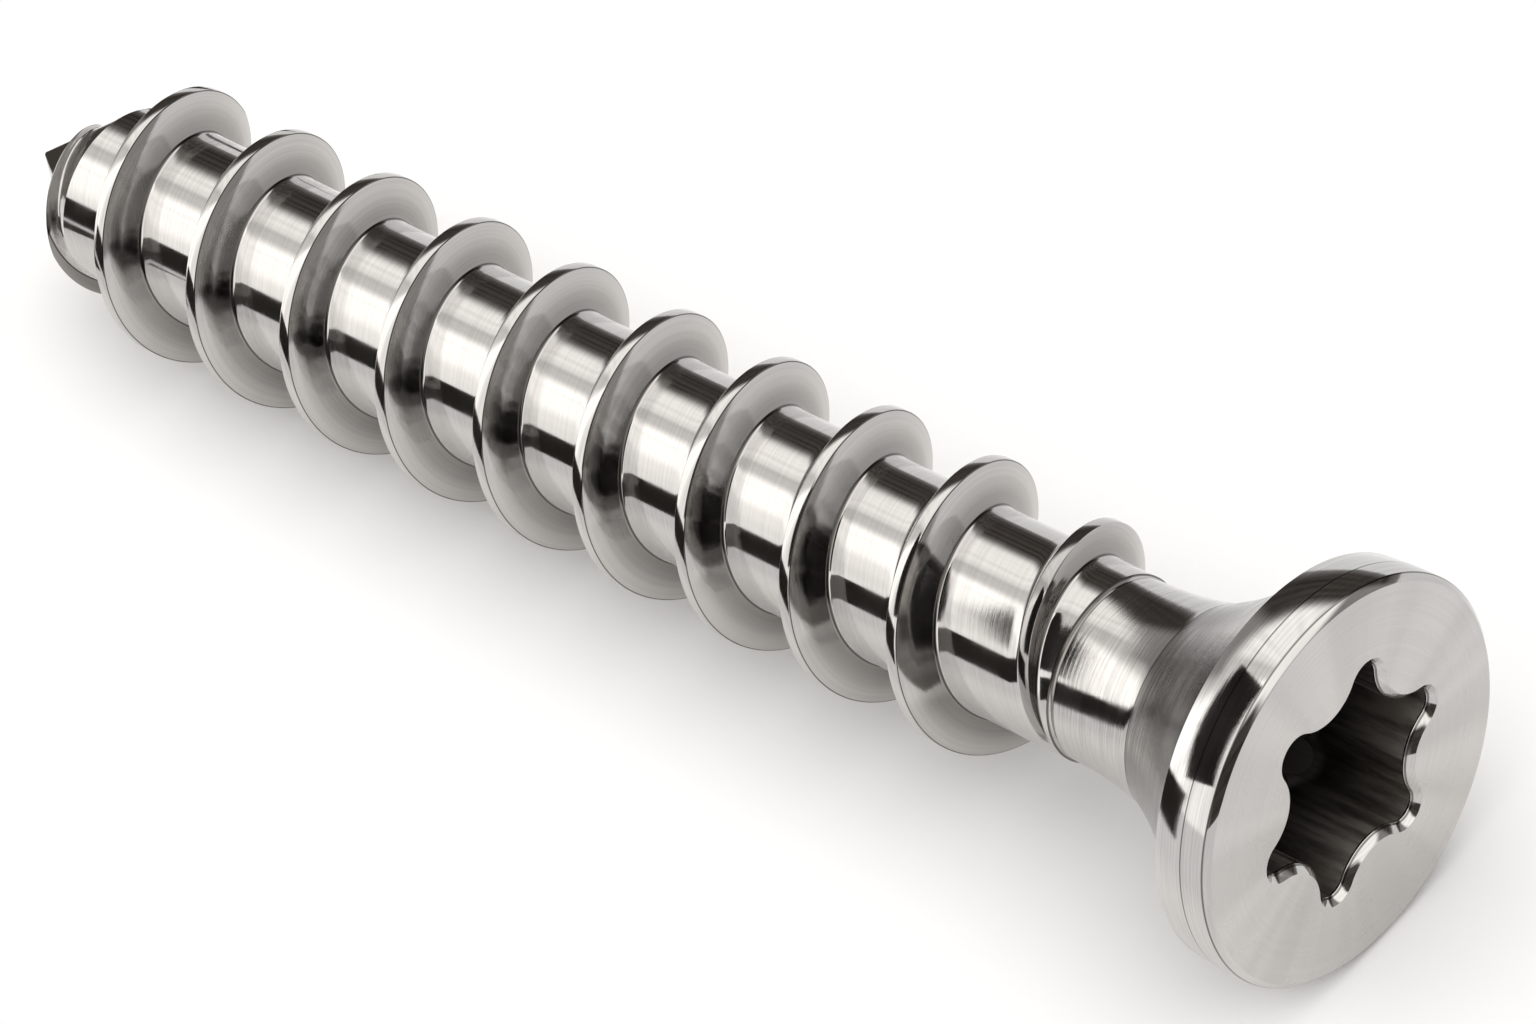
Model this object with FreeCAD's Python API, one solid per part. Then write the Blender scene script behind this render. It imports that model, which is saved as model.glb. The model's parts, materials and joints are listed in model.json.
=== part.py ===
import FreeCAD
import Part
from FreeCAD import Base
import math
import os

# One-piece bone screw for the pedicle of a vertebra: flat disc head with a six-lobe socket,
# waisted neck, cylindrical core with one coarse right-hand thread, and a pointed tip.
# It is turned from one bar, so it is one solid. It lies at rest on z = 0, on the rim of its
# head and on the last full crest before its tip. Lengths are in millimetres, angles in degrees.
# Stations are distances along the axis from the head's face, at 0, towards the tip.

# Head: face chamfer, cylindrical band, slightly conical band, then a narrow step behind the rim
head_diameter = 9.7
face_chamfer = 0.15
rim_band_length = 0.6
rim_cone_length = 0.75
rim_cone_drop = 0.06
rim_step = 0.08

# Flare and neck: two concave arcs that meet in a visible edge
flare_length = 2.85
flare_arc_radius = 7.5
flare_end_diameter = 5.0
neck_length = 2.35
waist_diameter = 4.4

# Fine groove that parts the neck from the threaded core
groove_width = 0.13
groove_depth = 0.07

# Core and tip
core_diameter = 4.5
overall_length = 42.1
tip_half_angle = 35.0
tip_radius = 0.1

# Thread: narrow land, steep flank towards the head, easier flank towards the tip
thread_diameter = 6.5
pitch = 3.25
crest_land = 0.3
head_flank_angle = 17.0
tip_flank_angle = 35.0
root_sink = 0.5

# Run-out: past a plain collar the crest rises out of the core, up to full height
collar_length = 0.17
run_out_length = 1.9
run_out_angle = 50.0

# Run-in: the crest falls from full height towards the tip, and a steeper cone trims its start.
# Setbacks are measured from the tip's point.
full_height_setback = 4.23
start_setback = 1.4
start_rise = 0.9
start_cone_half_angle = 48.0
start_overrun = 0.45

# Socket
lobe_count = 6
socket_across_lobes = 5.64
socket_across_flutes = 4.0
lobe_tip_radius = 0.4
socket_depth = 2.9
socket_point_angle = 120.0
socket_bevel = 0.18
socket_turn = 30.0

# How far the screw is turned about its own axis as it lies, where it doesn't roll on
roll = 57.0

# Small overlap that lets one shape cut or join another cleanly
overcut = 0.1

head_radius = head_diameter / 2
waist_radius = waist_diameter / 2
core_radius = core_diameter / 2
crest_radius = thread_diameter / 2
root_depth = crest_radius - core_radius + root_sink
rim_back_station = face_chamfer + rim_band_length + rim_cone_length
flare_end_station = rim_back_station + flare_length
groove_station = flare_end_station + neck_length
tip_lean = math.radians(tip_half_angle)
sharp_tip_station = overall_length + tip_radius * (1 / math.sin(tip_lean) - 1)
cone_base_station = sharp_tip_station - core_radius / math.tan(tip_lean)
full_start = groove_station + groove_width + collar_length + run_out_length
full_end = overall_length - full_height_setback


def at(radius, station, angle=0.0):
    """Point at a radius and an angle round the axis, at a station along it."""
    turn = math.radians(angle)
    return FreeCAD.Vector(radius * math.cos(turn), radius * math.sin(turn), station)


def line(start, end):
    return Part.LineSegment(start, end).toShape()


def hollow_arc(start, end, arc_radius):
    """Arc between two points of the profile that bulges towards the axis."""
    chord = end - start
    rise = arc_radius - math.sqrt(arc_radius ** 2 - (chord.Length / 2) ** 2)
    outward = FreeCAD.Vector(chord.z, 0, -chord.x).normalize()
    middle = (start + end) * 0.5 - outward * rise
    return Part.Arc(start, middle, end).toShape()


def spun(points):
    """Solid of revolution of a closed outline."""
    wire = Part.makePolygon(points + points[:1])
    return Part.Face(wire).revolve(at(0, 0), at(0, 1), 360)


def blank():
    """Turned body, before the thread and the socket."""
    centre = at(0, 0)
    face_edge = at(head_radius - face_chamfer, 0)
    rim_front = at(head_radius, face_chamfer)
    rim_middle = at(head_radius, face_chamfer + rim_band_length)
    rim_back = at(head_radius - rim_cone_drop, rim_back_station)
    flare_start = at(head_radius - rim_cone_drop - rim_step, rim_back_station)
    flare_end = at(flare_end_diameter / 2, flare_end_station)
    neck_end = at(waist_radius, groove_station)
    neck_drop = flare_end_diameter / 2 - waist_radius
    neck_arc_radius = (neck_length ** 2 + neck_drop ** 2) / (2 * neck_drop)
    groove_floor = at(waist_radius - groove_depth, groove_station + groove_width / 2)
    core_start = at(core_radius, groove_station + groove_width)
    core_end = at(core_radius, cone_base_station)
    ball_centre = at(0, overall_length - tip_radius)
    ball_lean = (tip_lean + math.pi / 2) / 2
    ball_start = ball_centre + at(tip_radius * math.cos(tip_lean), tip_radius * math.sin(tip_lean))
    ball_middle = ball_centre + at(tip_radius * math.cos(ball_lean), tip_radius * math.sin(ball_lean))
    apex = at(0, overall_length)
    outline = Part.Wire([
        line(centre, face_edge),
        line(face_edge, rim_front),
        line(rim_front, rim_middle),
        line(rim_middle, rim_back),
        line(rim_back, flare_start),
        hollow_arc(flare_start, flare_end, flare_arc_radius),
        hollow_arc(flare_end, neck_end, neck_arc_radius),
        line(neck_end, groove_floor),
        line(groove_floor, core_start),
        line(core_start, core_end),
        line(core_end, ball_start),
        Part.Arc(ball_start, ball_middle, apex).toShape(),
        line(apex, centre),
    ])
    return Part.Face(outline).revolve(at(0, 0), at(0, 1), 360)


def helix(start_radius, end_radius, length):
    """Right-hand helix round the axis, from angle 0 at station 0, whose radius changes evenly."""
    side = math.hypot(length, end_radius - start_radius)
    turn = 2 * math.pi * length / pitch
    if math.isclose(start_radius, end_radius):
        surface = Part.Cylinder()
        surface.Radius = start_radius
    else:
        surface = Part.Cone(at(0, 0), at(0, length), start_radius, end_radius)
    start = Base.Vector2d(0, 0)
    edge = Part.Geom2d.Line2dSegment(start, Base.Vector2d(turn, side)).toShape(surface)
    first = surface.value(0, 0)
    edge.rotate(at(0, 0), at(0, 1), -math.degrees(math.atan2(first.y, first.x)))
    return edge


def ridge(start_radius, end_radius, length, toward_head=False):
    """Stretch of thread, from angle 0 at station 0, whose crest radius changes evenly."""
    path = helix(start_radius, end_radius, length)
    if toward_head:
        path.rotate(at(0, 0), at(1, 0), 180)
    head_side = root_depth * math.tan(math.radians(head_flank_angle))
    tip_side = root_depth * math.tan(math.radians(tip_flank_angle))
    half_land = crest_land / 2
    section = Part.makePolygon([
        at(start_radius, -half_land),
        at(start_radius, half_land),
        at(start_radius - root_depth, half_land + tip_side),
        at(start_radius - root_depth, -half_land - head_side),
        at(start_radius, -half_land),
    ])
    sweep = Part.BRepOffsetAPI.MakePipeShell(Part.Wire(path))
    sweep.setBiNormalMode(at(0, 1))
    sweep.add(section, False, False)
    sweep.build()
    sweep.makeSolid()
    return sweep.shape()


def thread():
    """Right-hand thread: full stretch, run-out towards the head and run-in on the tip's cone."""
    full_length = full_end - full_start
    start_station = overall_length - start_setback
    start_radius = (sharp_tip_station - start_station) * math.tan(tip_lean)
    start_slope = math.tan(math.radians(start_cone_half_angle))
    run_in_slope = (crest_radius - start_radius - start_rise) / (start_station - full_end)
    run_in_length = start_station - full_end + start_overrun

    run_out = ridge(crest_radius, core_radius, run_out_length, toward_head=True)
    full = ridge(crest_radius, crest_radius, full_length)
    run_in = ridge(crest_radius, crest_radius - run_in_length * run_in_slope, run_in_length)
    run_out.translate(at(0, full_start))
    full.translate(at(0, full_start))
    run_in.rotate(at(0, 0), at(0, 1), full_length / pitch * 360)
    run_in.translate(at(0, full_end))

    past_crest = crest_radius + root_depth
    trim_end = full_end - pitch
    run_in = run_in.common(spun([
        at(0, start_station + start_radius / start_slope),
        at(past_crest, start_station - (past_crest - start_radius) / start_slope),
        at(past_crest, trim_end),
        at(0, trim_end),
    ]))
    pieces = [run_out, full, run_in]
    for piece in pieces:
        piece.rotate(at(0, 0), at(0, 1), run_out_angle)
    return pieces


def lobed_outline(growth, station):
    """Closed outline of the socket, grown outwards by an offset."""
    tip_radius_here = lobe_tip_radius + growth
    across_lobes = socket_across_lobes / 2 + growth
    across_flutes = socket_across_flutes / 2 + growth
    half_step = math.pi / lobe_count
    tip_centre = across_lobes - tip_radius_here
    reach = tip_centre * math.cos(half_step)
    flute_radius = (
        (tip_centre ** 2 + across_flutes ** 2 - 2 * across_flutes * reach - tip_radius_here ** 2)
        / (2 * (tip_radius_here - across_flutes + reach))
    )
    flute_centre = across_flutes + flute_radius
    step = 360 / lobe_count
    edges = []
    for lobe in range(lobe_count):
        angle = socket_turn + lobe * step
        tip = at(tip_centre, station, angle)
        before = at(flute_centre, station, angle - step / 2)
        after = at(flute_centre, station, angle + step / 2)
        next_tip = at(tip_centre, station, angle + step)
        share = tip_radius_here / (tip_radius_here + flute_radius)
        lobe_start = tip + (before - tip) * share
        lobe_end = tip + (after - tip) * share
        flute_end = next_tip + (after - next_tip) * share
        edges.append(Part.Arc(lobe_start, at(across_lobes, station, angle), lobe_end).toShape())
        edges.append(Part.Arc(lobe_end, at(across_flutes, station, angle + step / 2), flute_end).toShape())
    return Part.Wire(edges)


def socket():
    """Six-lobe bore with a pointed floor and a bevelled mouth."""
    lobe_reach = socket_across_lobes / 2
    point_depth = lobe_reach / math.tan(math.radians(socket_point_angle / 2))
    outline = Part.Face(lobed_outline(0, -overcut))
    bore = outline.extrude(at(0, socket_depth + point_depth + overcut))
    drill = spun([
        at(0, -overcut),
        at(lobe_reach + overcut, -overcut),
        at(lobe_reach + overcut, socket_depth),
        at(lobe_reach, socket_depth),
        at(0, socket_depth + point_depth),
    ])
    mouth = Part.makeLoft([
        lobed_outline(socket_bevel + overcut, -overcut),
        lobed_outline(0, socket_bevel),
    ], True, True)
    return bore.common(drill), mouth


def lying(screw):
    """Screw laid on z = 0 with its tip towards -X, centred on its box in plan."""
    bottom = 180 - roll
    first_crest = full_start + (bottom - run_out_angle) % 360 / 360 * pitch
    last_crest = first_crest + (full_end - first_crest) // pitch * pitch + crest_land / 2
    rim_corners = [
        (head_radius, face_chamfer + rim_band_length),
        (head_radius - rim_cone_drop, rim_back_station),
    ]
    lean = max(
        math.atan((radius - crest_radius) / (last_crest - station))
        for radius, station in rim_corners
    )
    floor_drop = last_crest * math.sin(lean) + crest_radius * math.cos(lean)
    face_end = (head_radius - face_chamfer) * math.sin(lean)
    tip_end = -(overall_length - tip_radius) * math.cos(lean) - tip_radius
    screw.rotate(at(0, 0), at(0, 1), roll)
    screw.rotate(at(0, 0), FreeCAD.Vector(0, 1, 0), -90 - math.degrees(lean))
    screw.translate(FreeCAD.Vector(-(face_end + tip_end) / 2, 0, floor_drop))
    return screw


body = blank()
for piece in thread():
    body = body.fuse(piece)
for hole in socket():
    body = body.cut(hole)
screw = lying(body)

os.makedirs("parts", exist_ok=True)
screw.exportStep("parts/bone_screw.step")
print("solids", len(screw.Solids), "volume", round(screw.Volume, 2), "valid", screw.isValid())
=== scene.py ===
import bpy
import json
import math
import numpy as np
from mathutils import Matrix, Vector


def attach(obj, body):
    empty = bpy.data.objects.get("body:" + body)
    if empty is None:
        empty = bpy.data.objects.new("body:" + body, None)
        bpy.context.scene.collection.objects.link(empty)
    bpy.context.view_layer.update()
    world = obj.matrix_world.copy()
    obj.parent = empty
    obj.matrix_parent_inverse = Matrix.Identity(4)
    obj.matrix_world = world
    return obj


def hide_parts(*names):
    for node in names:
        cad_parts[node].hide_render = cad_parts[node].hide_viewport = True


# One-piece pedicle screw lying on a white table. Sizes are in millimetres, as the maker would
# give them; stations run along the axis from the head's face, at 0, towards the point.
# The screw is modelled upright along Z and laid in its place at the end.

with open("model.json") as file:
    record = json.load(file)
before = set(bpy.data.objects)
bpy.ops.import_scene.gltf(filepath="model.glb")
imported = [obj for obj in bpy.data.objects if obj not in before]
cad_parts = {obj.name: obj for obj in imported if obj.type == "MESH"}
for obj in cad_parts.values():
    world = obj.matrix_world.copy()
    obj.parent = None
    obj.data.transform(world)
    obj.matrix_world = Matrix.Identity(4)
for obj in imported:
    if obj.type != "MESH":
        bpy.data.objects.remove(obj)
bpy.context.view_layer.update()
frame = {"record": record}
mm = 0.001
socketMount = next(m for m in frame["record"]["mounts"] if m["name"] == "drive_socket")
faceCentre = Vector(socketMount["pos_m"])
toPoint = -Vector(socketMount["axis"]).normalized()
sideways = Vector((0, 1, 0))
upward = sideways.cross(toPoint)


# small helpers for modelling by hand; lengths are in millimetres until the screw is laid down

def deselectEverything():
    if bpy.context.mode != "OBJECT":
        bpy.ops.object.mode_set(mode="OBJECT")
    bpy.ops.object.select_all(action="DESELECT")


def pointsOf(obj):
    places = np.empty(len(obj.data.vertices) * 3)
    obj.data.vertices.foreach_get("co", places)
    return places.reshape(-1, 3)


def setPoints(obj, places):
    obj.data.vertices.foreach_set("co", np.ascontiguousarray(places).ravel())
    obj.data.update()


def selectEdges(obj, wanted):
    # wanted(middles of the edges, which of them are open) picks the edges to work on
    bpy.ops.object.mode_set(mode="OBJECT")
    mesh = obj.data
    places = pointsOf(obj)
    ends = np.empty(len(mesh.edges) * 2, dtype=np.int32)
    mesh.edges.foreach_get("vertices", ends)
    ends = ends.reshape(-1, 2)
    used = np.empty(len(mesh.loops), dtype=np.int32)
    mesh.loops.foreach_get("edge_index", used)
    openEdge = np.bincount(used, minlength=len(ends)) < 2
    picked = wanted(places[ends].mean(axis=1), openEdge)
    onPoint = np.zeros(len(places), dtype=bool)
    onPoint[ends[picked].ravel()] = True
    mesh.polygons.foreach_set("select", np.zeros(len(mesh.polygons), dtype=bool))
    mesh.edges.foreach_set("select", picked)
    mesh.vertices.foreach_set("select", onPoint)
    bpy.ops.object.mode_set(mode="EDIT")
    bpy.ops.mesh.select_mode(type="EDGE")


def pullRings(outline):
    # outline: (station, radius) of each ring of the turned shape, the first of them selected
    for (s0, r0), (s1, r1) in zip(outline, outline[1:]):
        bpy.ops.mesh.extrude_region_move(TRANSFORM_OT_translate={"value": (0, 0, s1 - s0)})
        bpy.ops.transform.resize(value=(r1 / r0, r1 / r0, 1), center_override=(0, 0, s1))


def hollowArc(start, end, arcRadius, count):
    # rings along an arc between two (station, radius) points that bulges towards the axis
    a, b = Vector(start), Vector(end)
    chord = b - a
    outward = Vector((-chord.y, chord.x)).normalized()
    if outward.y < 0:
        outward = -outward
    centre = (a + b) / 2 + outward * math.sqrt(arcRadius ** 2 - (chord.length / 2) ** 2)
    first = math.atan2(a.y - centre.y, a.x - centre.x)
    last = math.atan2(b.y - centre.y, b.x - centre.x)
    turns = [first + (last - first) * i / count for i in range(count + 1)]
    return [(centre.x + arcRadius * math.cos(t), centre.y + arcRadius * math.sin(t)) for t in turns]


# threaded core: one section of the thread is drawn and screwed along the axis

core = {
    "coreRadius": 2.25,
    "crestRadius": 3.25,
    "pitch": 3.25,
    "crestLand": 0.3,
    "headFlank": 17.0,
    "tipFlank": 35.0,
    "rootFillet": 0.09,
    "crestBevel": 0.035,
    "length": 42.1,
    "tipHalfAngle": 35.0,
    "tipRadius": 0.1,
    "collarEnd": 7.0,
    "fullStart": 8.9,
    "fullEnd": 37.87,
    "startStation": 40.7,
    "startRise": 0.9,
    "startConeHalfAngle": 48.0,
    "crestAngle": 50.0,
    "turnRound": 57.0,
    "stepsRound": 192,
    "sweepStart": 5.1,
    "turns": 12,
    "drawnAt": 20.0,
    "weld": 0.0004,
    "fadeLength": 0.4,
    "cutNearHead": 6.9,
    "cutNearTip": 40.8,
    "pointGap": 0.04,
    "pointRing": 0.4,
    "endRings": 7,
}


def tangent(degrees):
    return math.tan(math.radians(degrees))


tipRise = 1 / math.sin(math.radians(core["tipHalfAngle"])) - 1
sharpTip = core["length"] + core["tipRadius"] * tipRise
coneBase = sharpTip - core["coreRadius"] / tangent(core["tipHalfAngle"])
startRadius = (sharpTip - core["startStation"]) * tangent(core["tipHalfAngle"])


def bodyRadius(station):
    cone = (sharpTip - station) * tangent(core["tipHalfAngle"])
    return np.clip(cone, 0.05, core["coreRadius"])


def crestLaw(station):
    # the crest rises out of the core behind the collar and falls again before the point
    rise = (core["crestRadius"] - core["coreRadius"]) / (core["fullStart"] - core["collarEnd"])
    fall = core["crestRadius"] - startRadius - core["startRise"]
    fall = fall / (core["startStation"] - core["fullEnd"])
    runOut = core["coreRadius"] + (station - core["collarEnd"]) * rise
    runIn = core["crestRadius"] - (station - core["fullEnd"]) * fall
    return np.minimum(core["crestRadius"], np.minimum(runOut, runIn))


def startCone(station):
    return startRadius + (core["startStation"] - station) * tangent(core["startConeHalfAngle"])


def crossing(over, inRoot, onRidge):
    # offset at which the thread leaves the body, found by halving
    for _ in range(30):
        middle = (inRoot + onRidge) / 2
        above = over(middle) > 0
        onRidge = np.where(above, middle, onRidge)
        inRoot = np.where(above, inRoot, middle)
    return (inRoot + onRidge) / 2


def sectionLanes(station):
    # offset along the axis and radius of each lane of the thread's section, per crest station
    half = core["crestLand"] / 2
    gap = core["pitch"] / 2
    headSlope, tipSlope = 1 / tangent(core["headFlank"]), 1 / tangent(core["tipFlank"])
    coneSlope = tangent(core["startConeHalfAngle"])
    crest = crestLaw(station)

    def ridge(t):
        head = crest + (t + half) * headSlope
        tip = crest - (t - half) * tipSlope
        return np.minimum(np.minimum(head, tip), np.minimum(crest, startCone(station + t)))

    def over(t):
        return ridge(t) - bodyRadius(station + t)

    tries = np.linspace(-3 * half, 3 * half, 61)
    tops = np.array([over(t) for t in tries])
    best = tries[tops.argmax(axis=0)]
    height = np.maximum(tops.max(axis=0), 0)
    shown = height > 0
    headFoot = np.where(shown, crossing(over, -gap, best), -half)
    tipFoot = np.where(shown, crossing(over, gap, best), half)

    # corners of the land, or of the cone that trims the thread's start
    cone = startCone(station)
    headCorner = np.minimum(-half, (cone - crest - half * headSlope) / (headSlope + coneSlope))
    late = (crest + half * tipSlope - cone) / (tipSlope - coneSlope)
    tipCorner = np.where(cone - half * coneSlope < crest, late, half)
    headCorner = np.clip(headCorner, headFoot, tipFoot)
    tipCorner = np.clip(np.maximum(tipCorner, half), headCorner, tipFoot)

    lanes = []

    def lane(t, r=None):
        t = t + 0 * station
        lanes.append((t, bodyRadius(station + t) if r is None else r + 0 * station))

    def bend(before, corner, after, shares):
        for u in shares:
            parts = [(1 - u) ** 2 * a + 2 * u * (1 - u) * b + u * u * c
                     for a, b, c in zip(before, corner, after)]
            lane(parts[0], parts[1])

    def towards(start, end, reach):
        # point at a reach from start towards end, at most 0.4 of the way
        dt, dr = end[0] - start[0], end[1] - start[1]
        length = np.maximum(np.hypot(dt, dr), 1e-6)
        share = np.minimum(reach / length, 0.4)
        return start[0] + dt * share, start[1] + dr * share

    fillet, bevel = core["rootFillet"], core["crestBevel"]
    headBase = (headFoot, bodyRadius(station + headFoot))
    headTop = (headCorner, ridge(headCorner))
    tipTop = (tipCorner, ridge(tipCorner))
    tipBase = (tipFoot, bodyRadius(station + tipFoot))
    small = np.minimum(fillet, height * 0.5)
    rootHead = (headFoot - small, bodyRadius(station + headFoot - small))
    rootTip = (tipFoot + small, bodyRadius(station + tipFoot + small))
    rootShares = [0, 0.2, 0.4, 0.6, 0.8]
    for share in rootShares:
        lane(-gap + (rootHead[0] + gap) * share)
    bend(rootHead, headBase, towards(headBase, headTop, fillet), (0, 0.25, 0.5, 0.75, 1))
    lane((headBase[0] + headTop[0]) / 2, (headBase[1] + headTop[1]) / 2)
    bend(towards(headTop, headBase, bevel), headTop, towards(headTop, tipTop, bevel), (0, 0.5, 1))
    lane((headTop[0] + tipTop[0]) / 2, (headTop[1] + tipTop[1]) / 2)
    bend(towards(tipTop, headTop, bevel), tipTop, towards(tipTop, tipBase, bevel), (0, 0.5, 1))
    lane((tipTop[0] + tipBase[0]) / 2, (tipTop[1] + tipBase[1]) / 2)
    bend(towards(tipBase, tipTop, fillet), tipBase, rootTip, (0, 0.25, 0.5, 0.75, 1))
    for share in rootShares[::-1]:
        lane(gap - (gap - rootTip[0]) * share)
    offsets = np.array([t for t, r in lanes])
    radii = np.array([r for t, r in lanes])

    # where there is no ridge the lanes spread out evenly over the plain body
    count = len(lanes)
    even = np.linspace(-gap, gap, count)[:, None]
    away = np.maximum(core["collarEnd"] - station, station - core["startStation"])
    spread = np.clip(away / core["fadeLength"], 0.0, 1.0)
    offsets = np.where(shown, offsets, offsets * (1 - spread) + even * spread)
    radii = np.where(shown, radii, bodyRadius(station + offsets))
    return offsets, radii


def makeThreadedCore():
    deselectEverything()
    offsets, radii = sectionLanes(np.array([core["drawnAt"]]))
    drawn = list(zip(offsets[:, 0], radii[:, 0]))
    laneCount = len(drawn)
    bpy.ops.mesh.primitive_circle_add(vertices=3, radius=0.1)
    obj = bpy.context.object
    obj.name = "pedicleScrew"
    bpy.ops.object.mode_set(mode="EDIT")
    bpy.ops.mesh.select_all(action="SELECT")
    bpy.ops.mesh.merge(type="CENTER")
    bpy.ops.transform.translate(value=(drawn[0][1], 0, core["sweepStart"] + drawn[0][0]))
    for (t0, r0), (t1, r1) in zip(drawn, drawn[1:]):
        bpy.ops.mesh.extrude_region_move(TRANSFORM_OT_translate={"value": (r1 - r0, 0, t1 - t0)})
    bpy.ops.object.mode_set(mode="OBJECT")
    laneOf = pointsOf(obj)[:, 2].argsort().argsort()

    thread = obj.modifiers.new("thread", "SCREW")
    thread.axis = "Z"
    thread.angle = 2 * math.pi
    thread.screw_offset = core["pitch"]
    thread.iterations = core["turns"]
    thread.steps = thread.render_steps = core["stepsRound"]
    thread.use_merge_vertices = False
    bpy.ops.object.modifier_apply(modifier="thread")

    # the crest sinks into the body at both ends, and the body narrows to the point
    places = pointsOf(obj)
    steps = len(places) // laneCount
    station = core["sweepStart"] + core["pitch"] * np.arange(steps) / core["stepsRound"]
    offsets, radii = sectionLanes(station)
    turn = core["crestAngle"] + core["turnRound"] + 360 * (station - core["fullStart"]) / core["pitch"]
    turn = np.radians(turn)
    s = (station + offsets).T[:, laneOf]
    r = radii.T[:, laneOf]
    places = np.stack([r * np.cos(turn)[:, None], r * np.sin(turn)[:, None], s], axis=2)
    setPoints(obj, places.reshape(-1, 3))

    bpy.ops.object.mode_set(mode="EDIT")
    bpy.ops.mesh.select_all(action="SELECT")
    bpy.ops.mesh.remove_doubles(threshold=core["weld"])
    cuts = [(core["cutNearHead"], True, False), (core["cutNearTip"], False, True), (coneBase, False, False)]
    for place, clearInner, clearOuter in cuts:
        bpy.ops.mesh.select_all(action="SELECT")
        bpy.ops.mesh.bisect(
            plane_co=(0, 0, place), plane_no=(0, 0, 1), clear_inner=clearInner, clear_outer=clearOuter
        )
    bpy.ops.object.mode_set(mode="OBJECT")

    # the edge where the core turns into the cone is a true circle
    places = pointsOf(obj)
    reach = np.hypot(places[:, 0], places[:, 1])
    onEdge = (abs(places[:, 2] - coneBase) < 0.0005) & (reach < core["coreRadius"] + 0.002)
    places[onEdge, :2] *= (core["coreRadius"] / reach[onEdge])[:, None]
    setPoints(obj, places)
    return obj


# head, neck and groove: turned rings pulled out of one circle, then the six-lobe socket

head = {
    "ringSteps": 288,
    "radius": 4.85,
    "faceChamfer": 0.15,
    "bandEnd": 0.75,
    "rimBack": 1.5,
    "rimDrop": 0.06,
    "rimStep": 0.08,
    "edgeRounding": 0.02,
    "flareEnd": 4.35,
    "flareEndRadius": 2.5,
    "flareArcRadius": 7.5,
    "neckEnd": 6.7,
    "waistRadius": 2.2,
    "grooveWidth": 0.13,
    "grooveDepth": 0.07,
    "coreLead": 0.03,
    "neckRings": 16,
    "flareRings": 18,
}
socket = {
    "lobes": 6,
    "acrossLobes": 5.64,
    "acrossFlutes": 4.0,
    "lobeTipRadius": 0.4,
    "depth": 2.9,
    "pointAngle": 120.0,
    "mouthBevel": 0.18,
    "edgeRounding": 0.02,
    "turn": 30.0,
    "wallRings": 6,
    "floorRings": 6,
}


def lobedLoop(growth):
    # points of the socket's outline, grown outwards, evenly spread along its arcs
    tipRadius = socket["lobeTipRadius"] + growth
    reach = socket["acrossLobes"] / 2 + growth
    flute = socket["acrossFlutes"] / 2 + growth
    halfStep = math.pi / socket["lobes"]
    tipCentre = reach - tipRadius
    inLine = tipCentre * math.cos(halfStep)
    fluteRadius = (tipCentre ** 2 + flute ** 2 - 2 * flute * inLine - tipRadius ** 2)
    fluteRadius = fluteRadius / (2 * (tipRadius - flute + inLine))
    fluteCentre = flute + fluteRadius
    tip = Vector((tipCentre, 0))
    middle = Vector((fluteCentre * math.cos(halfStep), fluteCentre * math.sin(halfStep)))
    touch = tip + (middle - tip) * (tipRadius / (tipRadius + fluteRadius))
    tipTurn = math.atan2(touch.y - tip.y, touch.x - tip.x)
    fluteTurn = math.atan2(touch.y - middle.y, touch.x - middle.x) % (2 * math.pi)
    fluteHalf = fluteTurn - (halfStep + math.pi)
    perLobe = head["ringSteps"] // socket["lobes"]
    tipCount = perLobe * 7 // 12
    fluteCount = perLobe - tipCount
    points = []
    for lobe in range(socket["lobes"]):
        lobeTurn = math.radians(socket["turn"] + core["turnRound"]) + lobe * 2 * halfStep
        for i in range(tipCount):
            t = -tipTurn + 2 * tipTurn * i / tipCount
            points.append((tipCentre + tipRadius * math.cos(t), tipRadius * math.sin(t), lobeTurn))
        for i in range(fluteCount):
            t = math.pi + halfStep + fluteHalf - 2 * fluteHalf * i / fluteCount
            x = fluteCentre * math.cos(halfStep) + fluteRadius * math.cos(t)
            y = fluteCentre * math.sin(halfStep) + fluteRadius * math.sin(t)
            points.append((x, y, lobeTurn))
    return np.array([
        (x * math.cos(a) - y * math.sin(a), x * math.sin(a) + y * math.cos(a)) for x, y, a in points
    ])


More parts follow.
